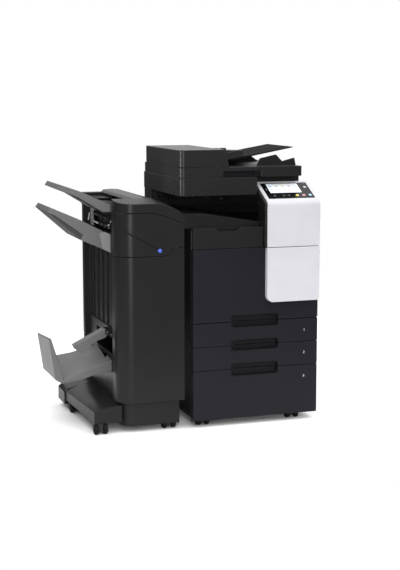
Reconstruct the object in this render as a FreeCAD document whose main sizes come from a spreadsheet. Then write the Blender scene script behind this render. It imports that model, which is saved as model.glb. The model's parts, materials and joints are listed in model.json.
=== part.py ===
"""Office photocopier with a docked floor-standing finisher, as a parametric FreeCAD document.

Lengths are in millimetres.  Positions in the outlines are counted from the cabinet's front
left corner on the floor: x to the right, y to the back, z up.  The two origin cells then move
everything so that the document's origin is under the middle of the whole machine.
"""
import FreeCAD, Part
import Sketcher
import math
import os

Vector = FreeCAD.Vector
doc = FreeCAD.newDocument("Photocopier")

CELLS = {
    # where the cabinet's front left corner lies from the middle of the machine
    "origin_x": -3, "origin_y": -306.5,
    # cabinet
    "cabinet_width": 561, "cabinet_depth": 600, "rear_cover_thick": 12, "skin": 4,
    "base_plate_z": 62, "base_plate_thick": 12, "deck_z": 834, "deck_thick": 5,
    "frame_front": 34, "frame_back": 590, "cover_foot": 40,
    # front panels, from the floor up
    "front_foot": 31, "seam_low": 243, "seam_mid": 344, "seam_door": 445, "seam_top": 757,
    "strip_top": 843, "front_thick": 30, "door_thick": 26, "gap": 2,
    "grip_left": 167, "grip_right": 382, "grip_deep": 20,
    "grip_low_down": 32, "grip_low_up": 25, "grip_mid_down": 25, "grip_mid_up": 25,
    "grip_door_down": 26, "grip_door_up": 30,
    # paper drawers
    "drawer_back": 560, "drawer_wall": 2.5, "drawer_side": 17, "rail_wide": 16, "rail_thick": 7.7,
    "slip": 0.3, "drawer_low_z": 86, "drawer_mid_z": 254, "drawer_top_z": 355, "drawer_head": 13,
    # white column at the right of the front
    "white_left": 318, "white_right": 556, "white_foot": 525, "white_proud": 28,
    "white_thick": 10, "bend_z": 948, "panel_back": 121, "panel_top": 1023, "pod_left": 309,
    # control panel, measured along its own slope
    "glass_left": 333, "glass_right": 541, "glass_foot": 27, "glass_head": 151, "glass_thick": 3,
    "screen_left": 355, "screen_right": 497, "screen_foot": 71, "screen_head": 146,
    "screen_thick": 6.7, "key_radius": 7, "key_travel": 0.8, "key_thick": 3, "key_clear": 0.3,
    # scanner and document feeder
    "scan_left": -37, "scan_right": 520, "scan_front": 66, "scan_foot": 972, "scan_top": 1047,
    "scan_wall": 3, "notch_left": 306, "notch_back": 126, "platen_left": 5, "platen_right": 452,
    "platen_front": 150, "platen_back": 462, "feeder_right": 509, "feeder_back": 587,
    "lid_gap": 0.5, "lid_top": 1090, "head_right": 168, "head_top": 1163, "head_wall": 3,
    "tray_front": 152, "tray_back": 448, "tray_thick": 7, "guide_tall": 22, "guide_travel": 70,
    # casters and levelling feet
    "wheel_radius": 22, "wheel_wide": 17, "wheel_offset": 19, "axle_radius": 3, "axle_clear": 0.08,
    "foot_radius": 14, "foot_thick": 8, "foot_stem": 6,
    # finisher
    "fin_left": -320, "fin_right": -38, "fin_back": 641, "fin_side": -300, "fin_skin": 4,
    "shell_depth": 100, "corner_round": 70, "skirt_foot": 27, "fin_door_foot": 127,
    "fin_seam_low": 736, "fin_seam_top": 914, "fin_top": 952, "side_top": 905,
    "exit_front": 180, "exit_back": 450, "tray_wall": 4, "outrigger_left": -430,
    "outrigger_foot": 45, "fin_plate_z": 60, "lamp_radius": 8.5, "pin_radius": 4,
    "lid_left": -230, "recess_front": 184, "recess_back": 582, "recess_foot": 412, "recess_deep": 8,
}


class Size:
    """A length that keeps both its number and the formula that the document evaluates."""

    def __init__(self, value, text=None):
        self.value = float(value)
        self.text = text if text else "%.6g" % value

    def __add__(self, other):
        other = size(other)
        return Size(self.value + other.value, "(%s + %s)" % (self.text, other.text))

    def __sub__(self, other):
        other = size(other)
        return Size(self.value - other.value, "(%s - %s)" % (self.text, other.text))

    def __mul__(self, other):
        other = size(other)
        return Size(self.value * other.value, "(%s * %s)" % (self.text, other.text))

    def __truediv__(self, other):
        other = size(other)
        return Size(self.value / other.value, "(%s / %s)" % (self.text, other.text))

    def __neg__(self):
        return Size(-self.value, "(0 - %s)" % self.text)

    def __radd__(self, other):
        return size(other) + self

    def __rsub__(self, other):
        return size(other) - self

    def __rmul__(self, other):
        return size(other) * self


def size(number):
    return number if isinstance(number, Size) else Size(number)


def make_sheet():
    """Write every driving size into the spreadsheet, one aliased cell each."""
    sheet = doc.addObject("Spreadsheet::Sheet", "Sizes")
    sizes = {}
    for row, (alias, value) in enumerate(CELLS.items(), start=1):
        sheet.set("A%d" % row, alias.replace("_", " "))
        sheet.set("B%d" % row, str(value))
        sheet.setAlias("B%d" % row, alias)
        sizes[alias] = Size(value, "Sizes." + alias)
    doc.recompute()
    return sizes


S = make_sheet()
ORIGIN = (S["origin_x"], S["origin_y"], Size(0))
NODES = []
AXES = "xyz"
PLANES = {"z": ("XY_Plane", False), "y": ("XZ_Plane", True), "x": ("YZ_Plane", False)}


# ---------------------------------------------------------------------------- building blocks
def move_to(item, corner, local=False):
    """Bind an object's base point to a corner given in cabinet coordinates."""
    for axis, place, origin in zip(AXES, corner, ORIGIN):
        place = size(place) if local else size(place) + origin
        item.setExpression("Placement.Base." + axis, place.text)


def block(x0, x1, y0, y1, z0, z1, local=False):
    """A box between two corners."""
    item = doc.addObject("Part::Box", "Block")
    for name, low, high in (("Length", x0, x1), ("Width", y0, y1), ("Height", z0, z1)):
        item.setExpression(name, (size(high) - size(low)).text)
    move_to(item, (x0, y0, z0), local)
    return item


def rod(axis, centre, radius, start, end, local=False):
    """A cylinder along x, y or z; centre gives its two other coordinates in order."""
    item = doc.addObject("Part::Cylinder", "Rod")
    item.setExpression("Radius", size(radius).text)
    item.setExpression("Height", (size(end) - size(start)).text)
    if axis == "x":
        corner = (start, centre[0], centre[1])
        item.Placement.Rotation = FreeCAD.Rotation(Vector(0, 1, 0), 90)
    elif axis == "y":
        corner = (centre[0], start, centre[1])
        item.Placement.Rotation = FreeCAD.Rotation(Vector(1, 0, 0), -90)
    else:
        corner = (centre[0], centre[1], start)
    move_to(item, corner, local)
    return item


def outline_sketch(body, axis, outline):
    """A closed outline whose corners are tied to the sheet."""
    sketch = body.newObject("Sketcher::SketchObject", "Outline")
    role = PLANES[axis][0]
    plane = [item for item in body.Origin.OriginFeatures if item.Role == role][0]
    sketch.AttachmentSupport = [(plane, "")]
    sketch.MapMode = "FlatFace"
    count = len(outline)
    corners = [(size(a), size(b)) for a, b in outline]
    for index in range(count):
        (a, b), (c, d) = corners[index], corners[(index + 1) % count]
        line = Part.LineSegment(Vector(a.value, b.value, 0), Vector(c.value, d.value, 0))
        sketch.addGeometry(line, False)
    for index in range(count):
        sketch.addConstraint(Sketcher.Constraint("Coincident", index, 2, (index + 1) % count, 1))
    for index, corner in enumerate(corners):
        for kind, place in zip(("DistanceX", "DistanceY"), corner):
            tie = Sketcher.Constraint(kind, -1, 1, index, 1, place.value)
            sketch.setExpression("Constraints[%d]" % sketch.addConstraint(tie), place.text)
    return sketch


def edges_along(shape, axis, corner):
    """Names of the edges that run along an axis through one corner of the outline."""
    line = AXES.index(axis)
    others = [index for index in range(3) if index != line]
    names = []
    for number, edge in enumerate(shape.Edges, start=1):
        ends = [vertex.Point for vertex in edge.Vertexes]
        if len(ends) < 2 or abs(ends[0][line] - ends[1][line]) < 0.01:
            continue
        if all(abs(end[k] - corner[i].value) < 0.01 for end in ends for i, k in enumerate(others)):
            names.append("Edge%d" % number)
    return names


def prism(axis, outline, start, end, rounds=()):
    """A padded outline: across x the outline is (y, z), across y (x, z), across z (x, y)."""
    body = doc.addObject("PartDesign::Body", "Prism")
    sketch = outline_sketch(body, axis, outline)
    pad = body.newObject("PartDesign::Pad", "Pad")
    pad.Profile = sketch
    pad.Reversed = PLANES[axis][1]
    pad.setExpression("Length", (size(end) - size(start)).text)
    sketch.Visibility = False
    doc.recompute()
    for corner_index, radius in rounds:
        corner = [size(place) for place in outline[corner_index]]
        base = body.Tip
        names = edges_along(base.Shape, axis, corner)
        fillet = body.newObject("PartDesign::Fillet", "Round")
        fillet.Base = (base, names)
        fillet.Radius = size(radius).value
        fillet.setExpression("Radius", size(radius).text)
        body.Tip = fillet
        doc.recompute()
    base_point = [Size(0), Size(0), Size(0)]
    base_point[AXES.index(axis)] = size(start)
    move_to(body, base_point)
    return body


def loft(near, far, start, end):
    """A solid between two outlines of as many corners, (x, z) at the depths start and end."""
    body = doc.addObject("PartDesign::Body", "Loft")
    first = outline_sketch(body, "y", near)
    last = outline_sketch(body, "y", far)
    last.setExpression("AttachmentOffset.Base.z", (size(start) - size(end)).text)
    shape = body.newObject("PartDesign::AdditiveLoft", "Between")
    shape.Profile = first
    shape.Sections = [last]
    shape.Ruled = True
    first.Visibility = last.Visibility = False
    move_to(body, (Size(0), start, Size(0)))
    doc.recompute()
    return body


def join(*items):
    item = doc.addObject("Part::MultiFuse", "Join")
    item.Shapes = list(items)
    return item


def cut(base, *tools):
    item = doc.addObject("Part::Cut", "Cut")
    item.Base = base
    item.Tool = tools[0] if len(tools) == 1 else join(*tools)
    return item


def group(*items):
    """Several separate solids in one node."""
    item = doc.addObject("Part::Compound", "Group")
    item.Links = list(items)
    return item


def node(label, item):
    """Name a finished sub-part; its label is its file's name."""
    item.Label = label
    NODES.append(item)
    return item


# ---------------------------------------------------------------------------- cabinet
WIDE = S["cabinet_width"]
SKIN = S["skin"]
FRONT = S["frame_front"]
BACK = S["frame_back"]
DEPTH = S["cabinet_depth"]
DECK = S["deck_z"] + S["deck_thick"]
BASE_TOP = S["base_plate_z"] + S["base_plate_thick"]
WALL_IN = SKIN + SKIN
WALL_OUT = WIDE - SKIN - SKIN
INLET = (430, 462, 476, 504)

# each drawer: its number, bottom seam, top seam, tray bottom, finger grip at its top, at its foot
DRAWERS = (
    ("1", S["seam_mid"], S["seam_door"], S["drawer_top_z"], S["grip_door_down"], S["grip_mid_up"]),
    ("2", S["seam_low"], S["seam_mid"], S["drawer_mid_z"], S["grip_mid_down"], S["grip_low_up"]),
    ("3", S["front_foot"] - 1, S["seam_low"], S["drawer_low_z"], S["grip_low_down"], None),
)


def inlet_hole(y0, y1):
    x0, x1, z0, z1 = INLET
    clear = 0.5
    return block(x0 - clear, x1 + clear, y0, y1, z0 - clear, z1 + clear)


def cabinet_frame():
    floor = block(SKIN, WIDE - SKIN, FRONT, BACK, S["base_plate_z"], BASE_TOP)
    left = block(SKIN, WALL_IN, FRONT, BACK, BASE_TOP, DECK)
    right = block(WALL_OUT, WIDE - SKIN, FRONT, BACK, BASE_TOP, DECK)
    back = block(WALL_IN, WALL_OUT, BACK - SKIN, BACK, BASE_TOP, DECK)
    deck = block(WALL_IN, WALL_OUT, FRONT, BACK - SKIN, S["deck_z"], DECK)
    parts = [floor, left, right, back, deck]
    for seam in (S["seam_low"], S["seam_mid"], S["seam_door"]):
        parts.append(block(WALL_IN, WALL_OUT, FRONT, BACK - SKIN, seam - 5, seam - 1))
    for number, low_seam, high_seam, tray_z, grip_top, grip_foot in DRAWERS:
        rail_top = tray_z - S["slip"]
        rail_foot = rail_top - S["rail_thick"]
        parts.append(block(WALL_IN, WALL_IN + S["rail_wide"], FRONT + 6, 580, rail_foot, rail_top))
        parts.append(block(WALL_OUT - S["rail_wide"], WALL_OUT, FRONT + 6, 580, rail_foot, rail_top))
    node("cabinet_frame", cut(join(*parts), inlet_hole(BACK - SKIN - 1, BACK + 1)))


def cabinet_covers():
    left = block(0, SKIN, FRONT, DEPTH, S["cover_foot"], DECK - 1)
    right = block(WIDE - SKIN, WIDE, FRONT, DEPTH, S["cover_foot"], DECK - 1)
    rear_end = DEPTH + S["rear_cover_thick"]
    back = block(0, WIDE, DEPTH, rear_end, S["cover_foot"], S["scan_foot"] - 1)
    node("cabinet_covers", group(left, right, cut(back, inlet_hole(DEPTH - 1, rear_end + 1))))
    rear = block(S["scan_left"] + 1, WIDE - 16, 490, DEPTH, DECK, S["scan_foot"])
    edge = [(61, DECK), (61, 905), (85, 956), (108, S["scan_foot"]), (490, S["scan_foot"]), (490, DECK)]
    node("upper_housing", join(rear, prism("x", edge, 470, WIDE - 16)))


def finger_grip(seam, down, up, face, deep):
    """The recess that a hand reaches into, above and below a seam."""
    return block(S["grip_left"], S["grip_right"], face - 1, face + deep, seam - down, seam + up)


def paper_drawer(number, low_seam, high_seam, tray_z, grip_top, grip_foot):
    half = S["gap"] / 2
    face = block(0, WIDE, 0, S["front_thick"], low_seam + half, high_seam - half)
    tools = [finger_grip(high_seam, grip_top, 0, 0, S["grip_deep"])]
    if grip_foot:
        tools.append(finger_grip(low_seam, 0, grip_foot, 0, S["grip_deep"]))
    node("drawer_%s_front" % number, cut(face, *tools))
    x0 = S["drawer_side"]
    x1 = WIDE - S["drawer_side"]
    y0 = S["front_thick"]
    wall = S["drawer_wall"]
    top = high_seam - S["drawer_head"]
    tub = block(x0, x1, y0, S["drawer_back"], tray_z, top)
    inside = block(x0 + wall, x1 - wall, y0 + wall, S["drawer_back"] - wall, tray_z + wall, top + 1)
    node("drawer_%s_tray" % number, cut(tub, inside))


def front_door():
    """The L-shaped lower door, with the white panel's lower half on it."""
    half = S["gap"] / 2
    foot = S["seam_door"] + half
    top = S["seam_top"] - half
    bevel = 3
    edge = [(bevel, foot), (S["door_thick"], foot), (S["door_thick"], top), (0, top), (0, foot + bevel)]
    panel = prism("x", edge, 0, WIDE)
    grip = finger_grip(S["seam_door"], 0, S["grip_door_up"], 0, S["grip_deep"])
    reach = FRONT - S["slip"]
    lugs = [block(x, x + 20, S["door_thick"], reach, foot + 6, foot + 20) for x in (2, WIDE - 22)]
    node("front_door", join(cut(panel, grip), *lugs))
    left, right, low = S["white_left"], S["white_right"], S["white_foot"]
    trim = [(left, low), (right, low), (right, top), (left, top)]
    node("white_door_trim", prism("y", trim, -S["white_proud"], 0, rounds=((0, 28), (1, 14))))


def inner_tray():
    strip_foot = S["seam_top"] + S["gap"] / 2
    plate = block(0, S["pod_left"] - 1, 0, 20, strip_foot, S["strip_top"])
    flange = block(0, S["pod_left"] - 1, 20, 60, DECK, S["strip_top"])
    notch = prism("y", [(110, 828), (192, 828), (205, 844), (101, 844)], -1, 14)
    node("inner_tray_front_cover", cut(join(plate, flange), notch))
    skin = 3
    top = [(-30, DECK), (-30, 900), (60, 900), (300, 860), (469, 853), (469, DECK)]
    under = [(-27, DECK - 1), (-27, 897), (60, 897), (300, 857), (466, 850), (466, DECK - 1)]
    shell = cut(prism("y", top, 62, 489), prism("y", under, 62 + skin, 489 - skin))
    node("inner_output_tray", shell)


def cabinet_inside():
    shelf = S["seam_door"] - 1
    node("laser_unit", block(40, 520, 80, 480, shelf, shelf + 66))
    supply = block(380, 520, 490, BACK - SKIN, shelf, shelf + 76)
    x0, x1, z0, z1 = INLET
    inlet = block(x0, x1, BACK - SKIN, DEPTH + S["rear_cover_thick"], z0, z1)
    pins = block(x0 + 6, x1 - 6, DEPTH - 6, DEPTH + S["rear_cover_thick"] + 1, z0 + 6, z1 - 6)
    node("power_supply", cut(join(supply, inlet), pins))
    drum_top = shelf + 66 + 62
    drums, bottles = [], []
    for index in range(4):
        x = 115 + 90 * index
        frame = block(x - 34, x + 34, 84, 476, shelf + 66, drum_top)
        drums.append(join(frame, rod("y", (x, drum_top), 16, 90, 470)))
        bottles.append(rod("y", (x, drum_top + 17 + 60 + 30.3), 30, 60, 430))
    node("drum_units", group(*drums))
    belt = [(60, drum_top + 16.3), (480, drum_top + 16.3), (480, drum_top + 77), (60, drum_top + 77)]
    rounds = tuple((corner, 28) for corner in range(4))
    node("transfer_belt_unit", prism("y", belt, 84, 476, rounds=rounds))
    node("toner_cartridges", group(*bottles))
    node("fuser_unit", block(490, WALL_OUT, 80, 480, 700, 785))


def right_side():
    """The side door for paper jams and the hand-feed tray that folds into it."""
    x0, x1 = WIDE + 0.5, WIDE + 17
    panel = block(x0, x1, 60, 560, 262, 800)
    recess = block(x1 - 12, x1 + 1, 120, 450, 477, 760)
    node("right_door", cut(panel, recess))
    plate = block(x1 - 8, x1, 120.5, 449.5, 480, 758)
    grip = block(x1 - 5, x1 + 1, 245, 325, 735, 759)
    node("hand_feed_tray", cut(plate, grip))


# ---------------------------------------------------------------------------- control column
def tilt():
    """How far the control panel leans back, in degrees."""
    rise = S["panel_top"].value - S["bend_z"].value
    run = S["panel_back"].value + S["white_proud"].value
    return math.degrees(math.atan2(rise, run))


def on_panel(item, lift=0.0):
    """Lay a sub-part, drawn flat, on the sloping panel."""
    angle = math.radians(tilt())
    y = S["origin_y"].value - S["white_proud"].value - lift * math.sin(angle)
    z = S["bend_z"].value + lift * math.cos(angle)
    base = Vector(S["origin_x"].value, y, z)
    item.Placement = FreeCAD.Placement(base, FreeCAD.Rotation(Vector(1, 0, 0), tilt()))
    return item


def white_cover():
    """The bent white plate that runs down the front and up the slope."""
    proud, thick, bend = S["white_proud"], S["white_thick"], S["bend_z"]
    foot = S["seam_top"] + S["gap"] / 2
    angle = math.radians(tilt())
    down = thick * math.cos(angle)
    inward = thick * math.sin(angle)
    knee = bend - thick * math.tan(math.pi / 4 - angle / 2)
    edge = [(-proud, foot), (-proud, bend), (S["panel_back"], S["panel_top"]),
            (S["panel_back"] + inward, S["panel_top"] - down), (thick - proud, knee),
            (thick - proud, foot)]
    plate = prism("x", edge, S["white_left"], S["white_right"], rounds=((1, 30),))
    window = block(S["glass_left"] - 0.2, S["glass_right"] + 0.2, S["glass_foot"] - 0.2,
                   S["glass_head"] + 0.2, -20, 20, local=True)
    tilted = on_panel(group(window))
    node("upper_white_cover", cut(plate, tilted))
    front = thick - proud
    head = [(front, foot), (33, foot), (33, DECK), (60, DECK), (60, 906), (84, 956),
            (S["panel_back"] + inward, 985),
            (S["panel_back"] + inward, S["panel_top"] - down), (front, knee)]
    node("control_pod", prism("x", head, S["pod_left"], S["white_right"]))


KEYS = (("reset_key", 467, 49), ("stop_key", 497, 49), ("start_key", 526, 49), ("power_key", 524, 113))


def control_panel():
    thick = S["glass_thick"]
    sheet = block(S["glass_left"], S["glass_right"], S["glass_foot"], S["glass_head"], -thick, 0,
                  local=True)
    holes = [rod("z", (x, along), S["key_radius"] + S["key_clear"], -thick - 1, 1, local=True)
             for name, x, along in KEYS]
    node("panel_glass", on_panel(cut(sheet, *holes)))
    screen = block(S["screen_left"], S["screen_right"], S["screen_foot"], S["screen_head"],
                   -thick - S["screen_thick"], -thick, local=True)
    node("touch_display", on_panel(group(screen)))
    for name, x, along in KEYS:
        key = rod("z", (x, along), S["key_radius"], S["key_travel"] - S["key_thick"], S["key_travel"],
                  local=True)
        node(name, on_panel(group(key)))


# ---------------------------------------------------------------------------- scanner
def scanner():
    left, right, front = S["scan_left"], S["scan_right"], S["scan_front"]
    low, high, wall = S["scan_foot"], S["scan_top"], S["scan_wall"]
    back = DEPTH + S["rear_cover_thick"]
    notch_x, notch_y = S["notch_left"], S["notch_back"]
    outer = [(left, front), (notch_x, front), (notch_x, notch_y), (right, notch_y), (right, back),
             (left, back)]
    inner = [(left + wall, front + wall), (notch_x - wall, front + wall),
             (notch_x - wall, notch_y + wall),
             (right - wall, notch_y + wall), (right - wall, back - wall), (left + wall, back - wall)]
    shell = prism("z", outer, low, high, rounds=((0, 24), (5, 12)))
    hollow = prism("z", inner, low + wall, high - wall, rounds=((0, 21), (5, 9)))
    window = block(S["platen_left"], S["platen_right"], S["platen_front"], S["platen_back"],
                   high - wall - 1, high + 1)
    rails = [block(left + wall - 1, right - wall + 1, y, y + 10, low + wall - 1, 1003.7) for y in (140,
                                                                                                   460)]
    node("scanner_housing", join(cut(shell, hollow, window), *rails))
    top = high - wall - S["slip"]
    node("platen_glass", block(S["platen_left"] - 4, S["platen_right"] + 4, S["platen_front"] - 4,
                               S["platen_back"] + 4, top - 3, top))
    node("scan_carriage", block(12, 62, 139, 471, 1004, 1032))


# ---------------------------------------------------------------------------- document feeder
def document_feeder():
    left, front, right = S["scan_left"], S["scan_front"], S["feeder_right"]
    foot = S["scan_top"] + S["lid_gap"]
    top = S["lid_top"]
    plan = [(left, front), (right, front), (right, S["feeder_back"]), (left, S["feeder_back"])]
    slab = prism("z", plan, foot, top, rounds=((0, 24), (1, 8)))
    grip = block(154, 323, front - 1, front + 18, foot - 1, foot + 25)
    fin = [(330, top - 1), (345, 1121), (416, 1136), (444, 1107), (500, 1121), (507, top - 1)]
    wing = [(S["head_right"] + 14, top - 1), (S["head_right"] + 14, 1146), (392, 1138), (440, 1104),
            (460, top - 1)]
    stopper = prism("y", fin, S["tray_front"] - 22, S["tray_front"] - 8)
    rear = prism("y", wing, S["tray_back"] + 7, S["feeder_back"] - 20)
    node("feeder_lid", join(cut(slab, grip), stopper, rear))

    wall = S["head_wall"]
    low = top + S["lid_gap"]
    head_top = S["head_top"]
    back = S["feeder_back"] - 20
    lean = 12
    side = [(left, low), (S["head_right"] + lean, low), (S["head_right"] - 4, head_top), (left, head_top)]
    inner = [(left + wall, low - 1), (S["head_right"] + lean - wall, low - 1),
             (S["head_right"] - 4 - wall, head_top - wall), (left + wall, head_top - wall)]
    shell = cut(prism("y", side, front, back), prism("y", inner, front + wall, back - wall))
    mouth = block(S["head_right"] - 30, S["head_right"] + lean + 1, S["tray_front"] - 6,
                  S["tray_back"] + 2, low - 1, 1141)
    corner = block(left - 1, left + 24, front - 1, front + 24, low - 1, head_top + 1)
    pillar = rod("z", (left + 24, front + 24), 24, low, head_top)
    skin_core = rod("z", (left + 24, front + 24), 21, low - 1, head_top - wall)
    rounded = cut(pillar, skin_core)
    quarter = doc.addObject("Part::MultiCommon", "Quarter")
    quarter.Shapes = [rounded, block(left - 1, left + 24, front - 1, front + 24, low, head_top)]
    node("feeder_head_cover", join(cut(shell, corner, mouth), quarter))


TRAY_LEFT, TRAY_LEFT_Z = 186, 1117
TRAY_KNEE, TRAY_KNEE_Z = 300, 1134
TRAY_RIGHT, TRAY_RIGHT_Z = 500, 1168


def document_tray():
    """The thin sloping input tray, with its pin and two sliding paper guides."""
    thick = S["tray_thick"]
    plate = [(TRAY_LEFT, TRAY_LEFT_Z - thick), (TRAY_KNEE, TRAY_KNEE_Z - thick),
             (TRAY_RIGHT, TRAY_RIGHT_Z - thick + 3),
             (TRAY_RIGHT, TRAY_RIGHT_Z), (TRAY_KNEE, TRAY_KNEE_Z), (TRAY_LEFT, TRAY_LEFT_Z)]
    pin = rod("y", (TRAY_LEFT + 8, TRAY_LEFT_Z - 3.5), 3, S["tray_front"], S["tray_back"] + 6.7)
    node("document_tray", join(prism("y", plate, S["tray_front"], S["tray_back"]), pin))
    slope = (TRAY_KNEE_Z - TRAY_LEFT_Z) / (TRAY_KNEE - TRAY_LEFT)
    x0, x1 = 206, 292
    foot0 = TRAY_LEFT_Z + slope * (x0 - TRAY_LEFT) + S["slip"]
    foot1 = TRAY_LEFT_Z + slope * (x1 - TRAY_LEFT) + S["slip"]
    for name, y in (("front_paper_guide", 190), ("back_paper_guide", 404)):
        web = [(x0, foot0), (x1, foot1), (x1 - 8, foot1 + S["guide_tall"]),
               (x0 + 4, foot0 + S["guide_tall"])]
        base = [(x0, foot0), (x1, foot1), (x1, foot1 + 2), (x0, foot0 + 2)]
        inner = y - 24 if name == "front_paper_guide" else y
        node(name, join(prism("y", web, y, y + 6), prism("y", base, inner, inner + 30)))


# ---------------------------------------------------------------------------- undercarriage
CASTERS = (
    ("copier_front_left", 56, 53), ("copier_front_right", 464, 53),
    ("copier_rear_left", 56, 545), ("copier_rear_right", 500, 545),
    ("finisher_front_left", -390, 40), ("finisher_front_right", -94, 52),
    ("finisher_rear_left", -404, 425), ("finisher_rear_right", -94, 585),
)


def caster_top(name):
    if name.startswith("copier"):
        return S["base_plate_z"]
    return S["outrigger_foot"] if name.endswith("left") else S["fin_plate_z"]


def undercarriage():
    high = S["wheel_radius"]
    holders = []
    for name, x, y in CASTERS:
        hub = block(x - 8, x + 8, y - 10, y + 10, 10, caster_top(name))
        bore = rod("x", (y, high), S["axle_radius"] + S["axle_clear"], x - 9, x + 9)
        holders.append(cut(hub, bore))
    for x in (110, 440):
        for y in (120, 520):
            pad = rod("z", (x, y), S["foot_radius"], 0, S["foot_thick"])
            stem = rod("z", (x, y), S["foot_stem"], S["foot_thick"], S["base_plate_z"])
            holders.append(join(pad, stem))
    node("caster_forks_and_feet", group(*holders))
    inner = S["wheel_offset"] - S["wheel_wide"] / 2
    outer = S["wheel_offset"] + S["wheel_wide"] / 2
    for name, x, y in CASTERS:
        left = rod("x", (y, high), S["wheel_radius"], x - outer, x - inner)
        right = rod("x", (y, high), S["wheel_radius"], x + inner, x + outer)
        axle = rod("x", (y, high), S["axle_radius"], x - inner - 1, x + inner + 1)
        node(name + "_wheel", join(left, right, axle))


# ---------------------------------------------------------------------------- finisher
FIN = S["fin_left"]
FIN_RIGHT = S["fin_right"]
SIDE = S["fin_side"]
FLAP_PIVOT = (-316, 394)
FLAP_NEAR, FLAP_FAR = 213, 265


def front_shell(low, high, right_wall=True, depth=None):
    """A slice of the finisher's front: flat face, round left corner and its returns."""
    depth = depth or S["shell_depth"]
    skin = S["fin_skin"]
    plan = [(FIN, 0), (FIN_RIGHT, 0), (FIN_RIGHT, depth), (FIN, depth)]
    end = FIN_RIGHT - skin if right_wall else FIN_RIGHT + 1
    core = [(FIN + skin, skin), (end, skin), (end, depth + 1), (FIN + skin, depth + 1)]
    outer = prism("z", plan, low, high, rounds=((0, S["corner_round"]),))
    inner = prism("z", core, low - 1, high + 1, rounds=((0, S["corner_round"] - skin),))
    return cut(outer, inner)


def finisher_front():
    """Door, middle panel and top cover, parted along lines that step up to the right."""
    half = S["gap"] / 2
    low = S["fin_seam_low"]
    high = S["fin_seam_top"]
    top = S["fin_top"]
    skin = S["fin_skin"]
    depth = S["shell_depth"]
    far, near, reach = FIN - 10, FIN_RIGHT + 10, depth + 10
    door_top = [(far, low - half), (-121, low - half), (-105, low + 2), (-77, low + 33), (near, low + 33),
                (near, low + 60), (far, low + 60)]
    mid_foot = [(far, low + half), (-122, low + half), (-106, low + 4), (-78, low + 35), (near, low + 35),
                (near, low - 40), (far, low - 40)]
    mid_top = [(far, high - half), (-172, high - half), (-141, high - 9), (-111, high - 18),
               (-81, high - 31),
               (near, high - 54), (near, high + 20), (far, high + 20)]
    cover_foot = [(far, high + half), (-172, high + half), (-141, high - 7), (-111, high - 16),
                  (-81, high - 29),
                  (near, high - 52), (near, high - 90), (far, high - 90)]
    slope = ((far, 0, 17.6), (-153, 0, 17.6), (-120, -8, 12), (-87, -18, 9), (-57, -34, 8), (-40, -52, 10),
             (near, -70, 12))
    roof = [(x, top + drop) for x, drop, rise in slope]
    ridge = [(x, top + drop + rise) for x, drop, rise in slope]
    crown = [(near, top + 40), (far, top + 40)]
    base = [(near, high - 95), (far, high - 95)]
    room = loft([(x, z - skin) for x, z in roof] + base, [(x, z - skin) for x, z in ridge] + base, -1, reach)

    door = front_shell(S["fin_door_foot"], low + 50, right_wall=False, depth=depth - 0.5)
    node("finisher_front_door", cut(door, prism("y", door_top, -1, reach)))
    lamp = (-142, 759)
    lamp_hole = rod("y", lamp, S["lamp_radius"] + 0.3, -1, 10)
    groove = prism("y", [(-302, 853), (-302, 845), (-156, 764), (-152, 770)], -1, 3)
    middle = cut(front_shell(low - 30, high), prism("y", mid_foot, -1, reach),
                 prism("y", mid_top, -1, reach))
    node("finisher_mid_panel", cut(middle, lamp_hole, groove))
    node("indicator_lamp", rod("y", lamp, S["lamp_radius"], -2, 12))
    plan = [(FIN + skin, skin), (FIN_RIGHT - skin, skin), (FIN_RIGHT - skin, depth), (FIN + skin, depth)]
    slab = prism("z", plan, high - 60, top + 20, rounds=((0, S["corner_round"] - skin),))
    filled = join(front_shell(high - 60, top + 20), cut(slab, room))
    cover = cut(filled, prism("y", cover_foot, -1, reach), loft(roof + crown, ridge + crown, -1, reach))
    node("finisher_top_cover", cover)


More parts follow.
